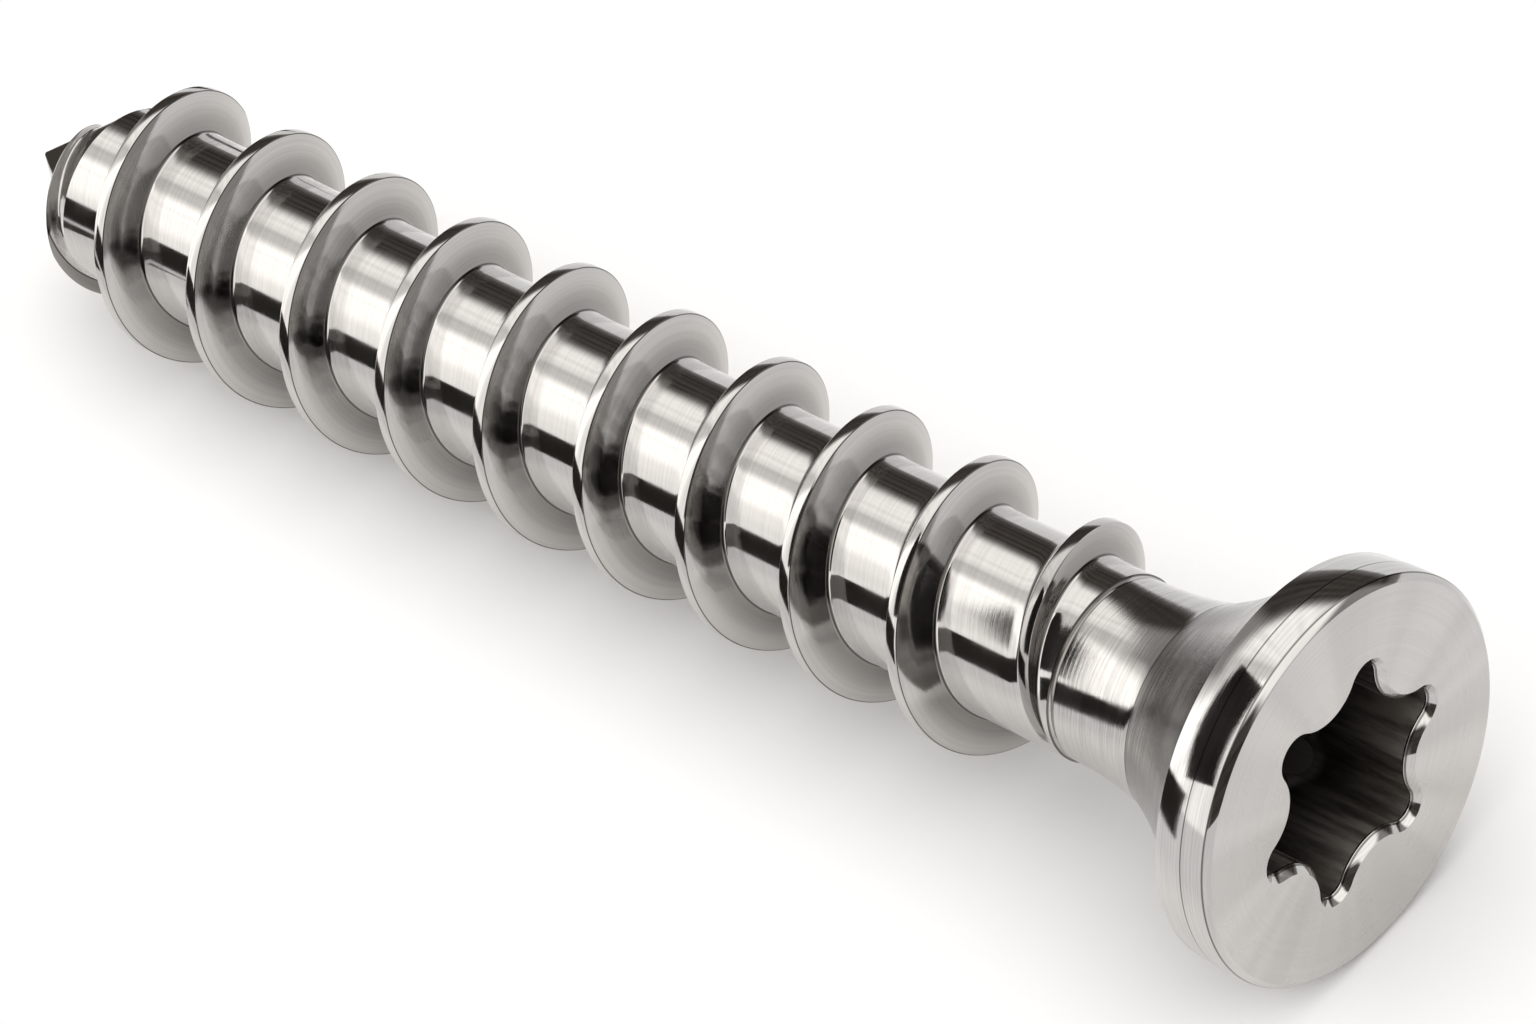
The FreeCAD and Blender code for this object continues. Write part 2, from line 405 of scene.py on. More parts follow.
def makeHead():
    deselectEverything()
    e = head["edgeRounding"]
    rimBackRadius = head["radius"] - head["rimDrop"]
    flareStart = (head["rimBack"], rimBackRadius - head["rimStep"])
    flareEnd = (head["flareEnd"], head["flareEndRadius"])
    neckEnd = (head["neckEnd"], head["waistRadius"])
    neckLength = head["neckEnd"] - head["flareEnd"]
    neckDrop = head["flareEndRadius"] - head["waistRadius"]
    neckArcRadius = (neckLength ** 2 + neckDrop ** 2) / (2 * neckDrop)
    coreStart = head["neckEnd"] + head["grooveWidth"]
    grooveFloor = (head["neckEnd"] + head["grooveWidth"] / 2, head["waistRadius"] - head["grooveDepth"])
    outline = [
        (coreStart + head["coreLead"], core["coreRadius"]),
        (coreStart + e / 2, core["coreRadius"]),
        (coreStart, core["coreRadius"] - e / 2),
        grooveFloor,
    ]
    neck = hollowArc(flareEnd, neckEnd, neckArcRadius, head["neckRings"])[::-1]
    flare = hollowArc(flareStart, flareEnd, head["flareArcRadius"], head["flareRings"])[::-1]
    outline += neck
    outline += flare[1:]
    outline += [
        (head["rimBack"], rimBackRadius - e),
        (head["rimBack"] - e * 0.3, rimBackRadius - e * 0.3),
        (head["rimBack"] - e, rimBackRadius),
        (head["bandEnd"] + e, head["radius"] - e * head["rimDrop"]),
        (head["bandEnd"] - e, head["radius"]),
        (head["faceChamfer"] + e, head["radius"]),
        (head["faceChamfer"] + e * 0.2, head["radius"] - e * 0.2),
        (head["faceChamfer"] - e * 0.6, head["radius"] - e * 0.8),
        (e * 0.6, head["radius"] - head["faceChamfer"] + e * 0.4),
        (e * 0.15, head["radius"] - head["faceChamfer"] - e * 0.2),
        (0, head["radius"] - head["faceChamfer"] - e),
    ]
    bpy.ops.mesh.primitive_circle_add(
        vertices=head["ringSteps"], radius=outline[0][1], location=(0, 0, outline[0][0])
    )
    obj = bpy.context.object
    obj.name = "headBlank"
    bpy.ops.object.transform_apply(location=True, rotation=True, scale=True)
    bpy.ops.object.mode_set(mode="EDIT")
    bpy.ops.mesh.select_all(action="SELECT")
    pullRings(outline)
    return obj


def makeSocket():
    # the mouth's loop lies in the face, and the bore is pulled in from it
    deselectEverything()
    bpy.ops.mesh.primitive_circle_add(vertices=head["ringSteps"], radius=1.0)
    obj = bpy.context.object
    obj.name = "socketBore"
    bevel, edge = socket["mouthBevel"], socket["edgeRounding"]
    levels = [
        (0, bevel + edge),
        (edge * 0.3, bevel - edge * 0.2),
        (bevel - edge, edge * 0.8),
        (bevel, edge * 0.2),
        (bevel + edge * 2, 0),
    ]
    loops = [lobedLoop(growth) for bottom, growth in levels]
    bottoms = [bottom for bottom, growth in levels]
    wall = loops[-1]
    wallReach = np.hypot(wall[:, 0], wall[:, 1])

    def floorAt(reach):
        return socket["depth"] + (socket["acrossLobes"] / 2 - reach) / tangent(socket["pointAngle"] / 2)

    floorStart = floorAt(wallReach)
    heights = [np.full(len(wall), b) for b in bottoms]
    for i in range(1, socket["wallRings"] + 1):
        loops.append(wall)
        heights.append(heights[len(bottoms) - 1] + (floorStart - bottoms[-1]) * i / socket["wallRings"])
    for i in range(1, socket["floorRings"]):
        share = 1 - i / socket["floorRings"]
        loops.append(wall * share)
        heights.append(floorAt(wallReach * share))
    bpy.ops.object.mode_set(mode="EDIT")
    bpy.ops.mesh.select_all(action="SELECT")
    apart = 0.1
    for _ in loops:
        bpy.ops.mesh.extrude_region_move(TRANSFORM_OT_translate={"value": (0, 0, apart)})
    bpy.ops.mesh.merge(type="CENTER")
    bpy.ops.object.mode_set(mode="OBJECT")
    places = pointsOf(obj)
    level = np.rint(places[:, 2] / apart).astype(int)
    for i, (loop, height) in enumerate(zip(loops, heights)):
        ring = np.flatnonzero(level == i)
        turns = np.arctan2(places[ring, 1], places[ring, 0]) % (2 * math.pi)
        ring = ring[turns.argsort()]
        loopTurns = np.arctan2(loops[0][:, 1], loops[0][:, 0]) % (2 * math.pi)
        order = loopTurns.argsort()
        places[ring, :2] = loop[order]
        places[ring, 2] = height[order]
    apex = level == len(loops)
    places[apex] = (0, 0, floorAt(0))
    setPoints(obj, places)
    return obj


def makePoint():
    # plain cone past the thread's start, with a small rounded end
    deselectEverything()
    first = core["cutNearTip"] + core["pointGap"]
    lean = math.radians(core["tipHalfAngle"])
    ball = core["length"] - core["tipRadius"]
    stations = [first + core["pointRing"] * i for i in range(3)]
    outline = [(s, float(bodyRadius(np.array(s)))) for s in stations]
    for i in range(core["endRings"]):
        t = lean + (math.pi / 2 - lean) * i / core["endRings"]
        outline.append((ball + core["tipRadius"] * math.sin(t), core["tipRadius"] * math.cos(t)))
    bpy.ops.mesh.primitive_circle_add(
        vertices=core["stepsRound"], radius=outline[0][1], location=(0, 0, first)
    )
    obj = bpy.context.object
    obj.name = "pointBlank"
    bpy.ops.object.transform_apply(location=True, rotation=True, scale=True)
    bpy.ops.object.mode_set(mode="EDIT")
    bpy.ops.mesh.select_all(action="SELECT")
    pullRings(outline)
    left = core["length"] - outline[-1][0]
    bpy.ops.mesh.extrude_region_move(TRANSFORM_OT_translate={"value": (0, 0, left)})
    bpy.ops.mesh.merge(type="CENTER")
    bpy.ops.object.mode_set(mode="OBJECT")
    return obj


def joinParts(main, others):
    deselectEverything()
    for obj in others + [main]:
        obj.select_set(True)
    bpy.context.view_layer.objects.active = main
    bpy.ops.object.join()


def bridgeAt(obj, low, high):
    selectEdges(obj, lambda middle, openEdge: openEdge & (middle[:, 2] > low) & (middle[:, 2] < high))
    bpy.ops.mesh.bridge_edge_loops()


def makeScrew():
    print("threaded core")
    screw = makeThreadedCore()
    print("head, socket and point")
    others = [makeHead(), makeSocket(), makePoint()]
    joinParts(screw, others)
    bridgeAt(screw, -0.01, 0.001)
    bridgeAt(screw, core["cutNearHead"] - 0.1, core["cutNearHead"] + 0.01)
    bridgeAt(screw, core["cutNearTip"] - 0.01, core["cutNearTip"] + 0.1)
    bpy.ops.mesh.select_all(action="SELECT")
    bpy.ops.mesh.normals_make_consistent(inside=False)
    bpy.ops.object.mode_set(mode="OBJECT")
    place = Matrix((upward, sideways, toPoint)).transposed().to_4x4()
    screw.matrix_world = Matrix.Translation(faceCentre) @ place @ Matrix.Scale(mm, 4)
    bpy.ops.object.transform_apply(location=True, rotation=True, scale=True)
    bpy.ops.object.shade_smooth_by_angle(angle=math.radians(24))
    return screw


screw = makeScrew()
print("screw", len(screw.data.vertices), "points", len(screw.data.polygons), "faces")
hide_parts("bone_screw")
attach(screw, "root")

# camera at the photograph's place

view = {
    "focalPixels": 7500.0,
    "picture": (1536, 1024),
    "facePixel": (1353.0, 784.0),
    "pixelsPerMm": 46.35,
    "leanFromView": 53.8,
    "slopeInPicture": 25.80,
    "upRound": -57.4,
}


def makeCamera():
    # the camera is placed from where the face's centre and the axis lie in the picture
    theta, beta = math.radians(view["leanFromView"]), math.radians(view["slopeInPicture"])
    along = Vector((
        -math.cos(beta) * math.sin(theta),
        -math.sin(beta) * math.sin(theta),
        math.cos(theta),
    ))
    across = Vector((math.sin(beta), -math.cos(beta), 0))
    around = along.cross(across)
    turn = math.radians(view["upRound"])
    up = across * math.cos(turn) + around * math.sin(turn)
    side = along.cross(up)
    distance = view["focalPixels"] / view["pixelsPerMm"] * mm
    width, height = view["picture"]
    face = Vector((
        (view["facePixel"][0] - width / 2) / view["focalPixels"] * distance,
        (view["facePixel"][1] - height / 2) / view["focalPixels"] * distance,
        distance,
    ))
    seen = Matrix((up, side, along)).transposed()
    real = Matrix((upward, sideways, toPoint)).transposed()
    turned = real @ seen.transposed()
    place = faceCentre - turned @ face
    flip = Matrix(((1, 0, 0), (0, -1, 0), (0, 0, -1)))
    lens = bpy.data.cameras.new("photoCamera")
    lens.sensor_width = 36
    lens.lens = 36 * view["focalPixels"] / width
    lens.clip_start, lens.clip_end = 0.01, 10
    camera = bpy.data.objects.new("photoCamera", lens)
    camera.matrix_world = Matrix.Translation(place) @ (turned @ flip).to_4x4()
    bpy.context.scene.collection.objects.link(camera)
    bpy.context.scene.camera = camera
    print("camera", [round(c, 4) for c in place])


makeCamera()

# shared node helpers for the steel, the table and the studio

def wire(tree, value, socket):
    if isinstance(value, bpy.types.NodeSocket):
        tree.links.new(value, socket)
    else:
        socket.default_value = value


def calc(tree, operation, first, second=0.0):
    node = tree.nodes.new("ShaderNodeMath")
    node.operation = operation
    wire(tree, first, node.inputs[0])
    wire(tree, second, node.inputs[1])
    return node.outputs[0]


def times(tree, first, second):
    return calc(tree, "MULTIPLY", first, second)


def smooth(tree, value, low, high, start=0.0, end=1.0):
    node = tree.nodes.new("ShaderNodeMapRange")
    node.interpolation_type = "SMOOTHSTEP"
    for socket, setting in zip(node.inputs, (value, low, high, start, end)):
        wire(tree, setting, socket)
    return node.outputs[0]


def within(tree, value, low, high, soft):
    # 1 between low and high, falling off over soft on both sides
    rise = smooth(tree, value, low - soft, low + soft)
    fall = smooth(tree, value, high - soft, high + soft, 1.0, 0.0)
    return times(tree, rise, fall)


def blend(tree, share, first, second):
    node = tree.nodes.new("ShaderNodeMix")
    node.data_type = "RGBA"
    wire(tree, share, node.inputs[0])
    wire(tree, first, node.inputs[6])
    wire(tree, second, node.inputs[7])
    return node.outputs[2]


def combine(tree, *values):
    node = tree.nodes.new("ShaderNodeCombineXYZ")
    for value, socket in zip(values, node.inputs):
        wire(tree, value, socket)
    return node.outputs[0]


def noise(tree, place, scale, detail, roughness=0.5):
    node = tree.nodes.new("ShaderNodeTexNoise")
    wire(tree, place, node.inputs["Vector"])
    node.inputs["Scale"].default_value = scale
    node.inputs["Detail"].default_value = detail
    node.inputs["Roughness"].default_value = roughness
    return node.outputs["Fac"]


def newGroup(name, inputs, outputs):
    tree = bpy.data.node_groups.new(name, "ShaderNodeTree")
    for direction, sockets in (("INPUT", inputs), ("OUTPUT", outputs)):
        for label, kind in sockets:
            tree.interface.new_socket(label, in_out=direction, socket_type="NodeSocket" + kind)
    return tree, tree.nodes.new("NodeGroupInput").outputs, tree.nodes.new("NodeGroupOutput").inputs


def useGroup(tree, group, *values):
    node = tree.nodes.new("ShaderNodeGroup")
    node.node_tree = group
    for value, socket in zip(values, node.inputs):
        wire(tree, value, socket)
    return node.outputs


def newMaterial(name):
    material = bpy.data.materials.new(name)
    material.use_nodes = True
    return material, material.node_tree, material.node_tree.nodes["Principled BSDF"]


def mixShaders(tree, share, first, second, surface):
    mix = tree.nodes.new("ShaderNodeMixShader")
    wire(tree, share, mix.inputs[0])
    tree.links.new(first, mix.inputs[1])
    tree.links.new(second, mix.inputs[2])
    tree.links.new(mix.outputs[0], surface)


def objectPlace(tree):
    return tree.nodes.new("ShaderNodeTexCoord").outputs["Object"]


def shaded(colour, share=1.0):
    return tuple(c * share for c in colour) + (1,)


# where a point lies on the screw: station and radius in millimetres, and the turn round the axis

def dotWith(tree, place, direction):
    node = tree.nodes.new("ShaderNodeVectorMath")
    node.operation = "DOT_PRODUCT"
    wire(tree, place, node.inputs[0])
    node.inputs[1].default_value = direction / mm
    return node.outputs["Value"]


def makePlaceGroup():
    tree, given, result = newGroup(
        "placeOnScrew",
        [("Place", "Vector")],
        [("Station", "Float"), ("Radius", "Float"), ("Up", "Float"), ("Side", "Float"), ("Lead", "Float")],
    )
    shift = tree.nodes.new("ShaderNodeVectorMath")
    shift.operation = "SUBTRACT"
    wire(tree, given[0], shift.inputs[0])
    shift.inputs[1].default_value = faceCentre
    place = shift.outputs[0]
    station = dotWith(tree, place, toPoint)
    up = dotWith(tree, place, upward)
    side = dotWith(tree, place, sideways)
    square = calc(tree, "ADD", times(tree, up, up), times(tree, side, side))
    radius = calc(tree, "SQRT", square)
    turn = calc(tree, "ARCTAN2", side, up)
    # the lead stays the same along the thread's helix
    lead = calc(tree, "SUBTRACT", times(tree, station, 2 * math.pi / core["pitch"]), turn)
    tree.links.new(station, result[0])
    tree.links.new(radius, result[1])
    tree.links.new(calc(tree, "DIVIDE", up, radius), result[2])
    tree.links.new(calc(tree, "DIVIDE", side, radius), result[3])
    tree.links.new(lead, result[4])
    return tree


placeGroup = makePlaceGroup()

# tool marks: fine lines round the axis, along the thread or along the socket's walls, a slower
# uneven tone, and painted reflection: sectors painted a little darker, as the sweeps a turned face reflects

marks = {
    "ringLines": 16.0,
    "ringSlant": 0.83,
    "helixLines": 7.0,
    "helixRise": 14.0,
    "helixDrift": 0.4,
    "lengthLines": 7.0,
    "lengthDrift": 0.35,
    "slowTone": 1.3,
    "ringTone": (1.1, 2.4),
    "helixTone": (0.9, 3.0),
    "lengthTone": 0.5,
    "detail": 6.0,
    "grain": 0.65,
    "paintedSectors": 2.6,
}


def marksGroup(name):
    tree, given, result = newGroup(
        name, [("Place", "Vector")], [("Lines", "Float"), ("Tone", "Float")]
    )
    return tree, result, useGroup(tree, placeGroup, given[0])


def slowTone(tree, along, up, side, reach):
    alongReach, roundReach = reach
    place = combine(
        tree, times(tree, along, alongReach), times(tree, up, roundReach), times(tree, side, roundReach)
    )
    return noise(tree, place, marks["slowTone"], 3.0)


def makeRingMarks():
    tree, result, (station, radius, up, side, lead) = marksGroup("ringMarks")
    across = calc(tree, "SUBTRACT", station, times(tree, radius, marks["ringSlant"]))
    place = combine(tree, times(tree, across, marks["ringLines"]), up, side)
    tree.links.new(noise(tree, place, 1.0, marks["detail"], marks["grain"]), result[0])
    tree.links.new(slowTone(tree, across, up, side, marks["ringTone"]), result[1])
    return tree


def makeHelixMarks():
    tree, result, (station, radius, up, side, lead) = marksGroup("helixMarks")
    cosine = times(tree, calc(tree, "COSINE", lead), marks["helixLines"])
    sine = times(tree, calc(tree, "SINE", lead), marks["helixLines"])
    rise = times(tree, radius, marks["helixRise"])
    rise = calc(tree, "ADD", rise, times(tree, station, marks["helixDrift"]))
    place = combine(tree, cosine, sine, rise)
    tree.links.new(noise(tree, place, 1.0, marks["detail"], marks["grain"]), result[0])
    tree.links.new(slowTone(tree, station, up, side, marks["helixTone"]), result[1])
    return tree


def makeLengthMarks():
    tree, result, (station, radius, up, side, lead) = marksGroup("lengthMarks")
    turned = [times(tree, value, marks["lengthLines"]) for value in (up, side)]
    place = combine(tree, turned[0], turned[1], times(tree, station, marks["lengthDrift"]))
    tree.links.new(noise(tree, place, 1.0, 4.0, 0.6), result[0])
    tree.links.new(noise(tree, place, marks["lengthTone"], 2.0), result[1])
    return tree


# painted reflection: a slow pattern round the axis that picks the sectors painted darker
def makePaintedSweeps():
    tree, given, result = newGroup("paintedReflectionSweeps", [("Place", "Vector")], [("Sweep", "Float")])
    station, radius, up, side, lead = useGroup(tree, placeGroup, given[0])
    place = combine(tree, times(tree, up, marks["paintedSectors"]), times(tree, side, marks["paintedSectors"]), 1.0)
    tree.links.new(noise(tree, place, 1.0, 1.5), result[0])
    return tree


marksGroups = {"ring": makeRingMarks(), "helix": makeHelixMarks(), "length": makeLengthMarks()}
sweepGroup = makePaintedSweeps()

# painted shade: fine dark lines drawn along the edges: roots and crest edges of the thread, and turned
# edges

paintedEdgeShade = {
    "root": (2.262, 2.30),
    "crest": (3.218, 3.240),
    "turned": [0.15, 0.75, 4.35, 6.7, 6.83],
    "turnedHalf": 0.018,
    "soft": 0.006,
    "threadFrom": (6.9, 7.0),
    "colour": (0.05, 0.045, 0.04),
    "shade": (2.35, 3.15),
    "shadeShare": 0.55,
    "shadeColour": (0.07, 0.062, 0.056),
}


def makePaintedEdgeShade():
    tree, given, result = newGroup(
        "paintedEdgeShade", [("Place", "Vector")], [("Line", "Float"), ("Shade", "Float")]
    )
    station, radius, up, side, lead = useGroup(tree, placeGroup, given[0])
    soft, half = paintedEdgeShade["soft"], paintedEdgeShade["turnedHalf"]
    root = within(tree, radius, *paintedEdgeShade["root"], soft)
    crest = within(tree, radius, *paintedEdgeShade["crest"], soft / 2)
    onThread = smooth(tree, station, *paintedEdgeShade["threadFrom"])
    line = times(tree, calc(tree, "MAXIMUM", root, crest), onThread)
    for place in paintedEdgeShade["turned"]:
        line = calc(tree, "MAXIMUM", line, within(tree, station, place - half, place + half, soft))
    tree.links.new(line, result[0])
    # painted shade: the flanks are painted darker towards the root
    shade = smooth(tree, radius, *paintedEdgeShade["shade"], 1.0, 0.0)
    shade = times(tree, shade, smooth(tree, radius, *paintedEdgeShade["root"]))
    tree.links.new(times(tree, shade, onThread), result[1])
    return tree


paintedEdgeShadeGroup = makePaintedEdgeShade()

# finishes of the steel: tint (the flare's darker tint is painted shade), streaks of the tool marks,
# roughness, bump in millimetres, spread of the highlights round the axis, share of reflections that pass,
# painted dark edge lines and painted reflection sweeps

finishes = {
    "threadSteel": {
        "marks": "helix", "tint": (0.52, 0.503, 0.486), "streak": 0.92, "rough": 0.09, "uneven": 0.05,
        "bump": 0.0006, "spread": 0.0, "clear": 0.85, "edge": 0.88, "sweep": 0.0,
    },
    "neckSteel": {
        "marks": "ring", "tint": (0.52, 0.503, 0.486), "streak": 0.80, "rough": 0.10, "uneven": 0.06,
        "bump": 0.0018, "spread": 0.0, "clear": 0.0, "edge": 0.8, "sweep": 0.0,
    },
    # painted shade: the flare's tint is darker than the neck's, standing in for the dark reflections it
    # shows
    "flareSteel": {
        "marks": "ring", "tint": (0.36, 0.342, 0.326), "streak": 0.5, "rough": 0.17, "uneven": 0.10,
        "bump": 0.0040, "spread": 0.5, "clear": 0.0, "edge": 0.8, "sweep": 0.8,
    },
    "rimSteel": {
        "marks": "ring", "tint": (0.56, 0.544, 0.528), "streak": 0.86, "rough": 0.07, "uneven": 0.05,
        "bump": 0.0010, "spread": 0.0, "clear": 0.0, "edge": 0.75, "sweep": 0.0,
    },
    "faceSteel": {
        "marks": "ring", "tint": (0.62, 0.60, 0.582), "streak": 0.96, "rough": 0.27, "uneven": 0.03,
        "bump": 0.0003, "spread": 0.6, "clear": 0.0, "edge": 0.0, "sweep": 0.24,
    },
    "socketSteel": {
        "marks": "length", "tint": (0.74, 0.69, 0.64), "streak": 0.42, "rough": 0.36, "uneven": 0.12,
        "bump": 0.0040, "spread": 0.0, "clear": 0.0, "edge": 0.0, "sweep": 0.0,
    },
}
finishShape = {
    "streakRange": (0.36, 0.62),
    "sweepRange": (0.35, 0.62),
    "sweepShade": 0.5,
    "toneRange": (0.3, 0.7),
    # painted shade in the socket: darker with depth, and a dull floor
    "socketShadeRange": (0.4, 3.4),
    "socketShadeColour": (0.02, 0.018, 0.016),
    "socketShadeDullRange": (2.5, 2.9),
    "socketShadeGloss": 0.05,
}


def paintMetalAndShade(tree, finish, place, lines):
    tint = finish["tint"]
    streaks = smooth(tree, lines, *finishShape["streakRange"])
    metal = blend(tree, streaks, shaded(tint, finish["streak"]), shaded(tint))
    # painted reflection: darker sectors of the face and flare stand in for reflected sweeps
    paintedSector = smooth(tree, useGroup(tree, sweepGroup, place)[0], *finishShape["sweepRange"])
    paintedSweepColour = shaded(tint, finishShape["sweepShade"])
    metal = blend(tree, times(tree, paintedSector, finish["sweep"]), metal, paintedSweepColour)
    edge, shade = useGroup(tree, paintedEdgeShadeGroup, place)
    # painted shade: the flanks darker towards the root
    share = times(tree, shade, paintedEdgeShade["shadeShare"])
    metal = blend(tree, share, metal, shaded(paintedEdgeShade["shadeColour"]))
    # painted shade: dark lines along the roots, crest edges and turned edges
    return blend(tree, times(tree, edge, finish["edge"]), metal, shaded(paintedEdgeShade["colour"]))


def paintSocketShade(tree, shader, place, metal):
    # painted shade: the walls are painted darker with depth, and the floor of the socket is made dull and
    # near black
    depth = useGroup(tree, placeGroup, place)[0]
    paintedDepthShade = smooth(tree, depth, *finishShape["socketShadeRange"])
    wire(tree, blend(tree, paintedDepthShade, metal, shaded(finishShape["socketShadeColour"])), shader.inputs["Base Color"])
    wire(tree, smooth(tree, depth, *finishShape["socketShadeDullRange"], 1.0, 0.0), shader.inputs["Metallic"])
    shader.inputs["Specular IOR Level"].default_value = finishShape["socketShadeGloss"]


def makeSteel(name):
    finish = finishes[name]
    material, tree, shader = newMaterial(name)
    shader.inputs["Metallic"].default_value = 1.0
    place = objectPlace(tree)
    lines, tone = useGroup(tree, marksGroups[finish["marks"]], place)
    metal = paintMetalAndShade(tree, finish, place, lines)
    wire(tree, metal, shader.inputs["Base Color"])
    if name == "socketSteel":
        paintSocketShade(tree, shader, place, metal)
    low, high = finish["rough"] - finish["uneven"] / 2, finish["rough"] + finish["uneven"] / 2
    wire(tree, smooth(tree, tone, *finishShape["toneRange"], low, high), shader.inputs["Roughness"])
    bump = tree.nodes.new("ShaderNodeBump")
    bump.inputs["Distance"].default_value = finish["bump"] * mm
    bump.inputs["Strength"].default_value = 1.0
    wire(tree, lines, bump.inputs["Height"])
    wire(tree, bump.outputs[0], shader.inputs["Normal"])
    if finish["spread"]:
        tangentNode = tree.nodes.new("ShaderNodeTangent")
        tangentNode.direction_type = "RADIAL"
        tangentNode.axis = "X"
        wire(tree, tangentNode.outputs[0], shader.inputs["Tangent"])
        shader.inputs["Anisotropic"].default_value = finish["spread"]
    if finish["clear"]:
        # reflections pass this much of the neighbouring crests, so the studio shows down to the roots
        rays = tree.nodes.new("ShaderNodeLightPath").outputs
        share = times(tree, rays["Is Glossy Ray"], finish["clear"])
        through = tree.nodes.new("ShaderNodeBsdfTransparent").outputs[0]
        surface = tree.nodes["Material Output"].inputs["Surface"]
        mixShaders(tree, share, shader.outputs[0], through, surface)
    return material


# which finish each face of the mesh gets, by where it lies; lengths in millimetres

areas = {
    "neckPast": 0.1,
    "rimPast": 0.001,
    "rimReach": 4.6,
    "faceDepth": 0.004,
    "faceReach": 4.71,
    "mouthMargin": 0.02,
    "socketMargin": 0.01,
    "socketPast": 2.0,
    "wallFacing": 0.3,
    "mouthPast": 0.03,
    "mouthReach": 1.8,
}


def faceVectors(mesh, kind):
    values = np.empty(len(mesh.polygons) * 3)
    mesh.polygons.foreach_get(kind, values)
    return values.reshape(-1, 3)


def giveFinishes(obj):
    for name in finishes:
        obj.data.materials.append(makeSteel(name))
    order = list(finishes)
    mesh = obj.data
    middles = (faceVectors(mesh, "center") - np.array(faceCentre)) / mm
    facing = faceVectors(mesh, "normal")
    station = middles @ np.array(toPoint)
    up, side = middles @ np.array(upward), middles @ np.array(sideways)
    reach = np.hypot(up, side)
    turn = np.arctan2(side, up)
    outward = facing @ np.array(upward) * up + facing @ np.array(sideways) * side
    outward = outward / np.maximum(reach, 0.01)
    mouth = lobedLoop(socket["mouthBevel"] + areas["mouthMargin"])
    mouthTurn = np.arctan2(mouth[:, 1], mouth[:, 0])
    mouthReach = np.hypot(mouth[:, 0], mouth[:, 1])
    sortedTurns = mouthTurn.argsort()
    mouthReach = np.interp(turn, mouthTurn[sortedTurns], mouthReach[sortedTurns], period=2 * math.pi)
    inMouth = (reach < mouthReach - areas["socketMargin"]) & (outward < areas["wallFacing"])
    kind = np.full(len(station), order.index("threadSteel"), dtype=np.int32)
    kind[station < head["neckEnd"] + areas["neckPast"]] = order.index("neckSteel")
    kind[station < head["flareEnd"]] = order.index("flareSteel")
    onRim = (station < head["rimBack"] + areas["rimPast"]) & (reach > areas["rimReach"])
    kind[onRim] = order.index("rimSteel")
    onFace = (station < areas["faceDepth"]) & (reach < areas["faceReach"])
    kind[onFace] = order.index("faceSteel")
    inSocket = inMouth & (station < socket["depth"] + areas["socketPast"])
    kind[inSocket] = order.index("socketSteel")
    nearMouth = (station < socket["mouthBevel"] + areas["mouthPast"]) & (reach > areas["mouthReach"])
    kind[inSocket & nearMouth] = order.index("rimSteel")
    mesh.polygons.foreach_set("material_index", kind)
    mesh.update()


giveFinishes(screw)
print("steel", len(finishes), "finishes")

# white table: a lit surface near the screw, plain white further off; lengths in metres

table = {
    "size": 2.0,
    "colour": (0.92, 0.92, 0.92),
    "rough": 0.6,
    "gloss": 0.1,
    "grain": 900.0,
    "grainShade": 0.985,
    "halfLength": 0.016,
    "white": (0.006, 0.014),
}


def seenDirectly(tree):
    rays = tree.nodes.new("ShaderNodeLightPath").outputs
    direct = calc(tree, "MAXIMUM", rays["Is Camera Ray"], rays["Is Glossy Ray"])
    return calc(tree, "MAXIMUM", direct, rays["Is Transmission Ray"])


def makeTable():
    deselectEverything()
    bpy.ops.mesh.primitive_plane_add(size=table["size"], location=(0, 0, 0))
    obj = bpy.context.object
    obj.name = "paleTable"
    material, tree, shader = newMaterial("palePaper")
    place = objectPlace(tree)
    grain = noise(tree, place, table["grain"], 4.0)
    paper = blend(tree, grain, shaded(table["colour"], table["grainShade"]), shaded(table["colour"]))
    wire(tree, paper, shader.inputs["Base Color"])
    shader.inputs["Roughness"].default_value = table["rough"]
    shader.inputs["Specular IOR Level"].default_value = table["gloss"]
    parts = tree.nodes.new("ShaderNodeSeparateXYZ")
    wire(tree, place, parts.inputs[0])
    x, y, z = parts.outputs
    along = calc(tree, "SUBTRACT", calc(tree, "ABSOLUTE", x), table["halfLength"])
    along = calc(tree, "MAXIMUM", along, 0.0)
    off = calc(tree, "ADD", times(tree, along, along), times(tree, y, y))
    white = smooth(tree, calc(tree, "SQRT", off), *table["white"])
    glow = tree.nodes.new("ShaderNodeEmission")
    glow.inputs["Color"].default_value = (1, 1, 1, 1)
    surface = tree.nodes["Material Output"].inputs["Surface"]
    mixShaders(tree, times(tree, white, seenDirectly(tree)), shader.outputs[0], glow.outputs[0], surface)
    obj.data.materials.append(material)


makeTable()
print("table")

# dark cloths round the screw, seen only in its reflections; lengths in millimetres

cloths = {
    "rimCloth": {
        "centre": (2.6, -17.0, 27.0), "along": 16.0, "across": 31.0,
        "toward": (20.0, -4.0, 5.0), "side": (0.0, -0.77, -0.64), "colour": (0.02, 0.018, 0.016),
    },
    "frontCloth": {
        "centre": (-19.5, -24.0, 5.6), "along": 44.0, "across": 11.2,
        "toward": (-19.5, 0.0, 5.6), "side": (0.0, 0.0, 1.0), "colour": (0.03, 0.027, 0.024),
    },
    "tipCloth": {
        "centre": (-41.0, 1.0, 0.4), "along": 32.0, "across": 34.0,
        "toward": (-41.0, 1.0, 9.0), "side": (0.0, 1.0, 0.0), "colour": (0.05, 0.044, 0.04),
    },
}


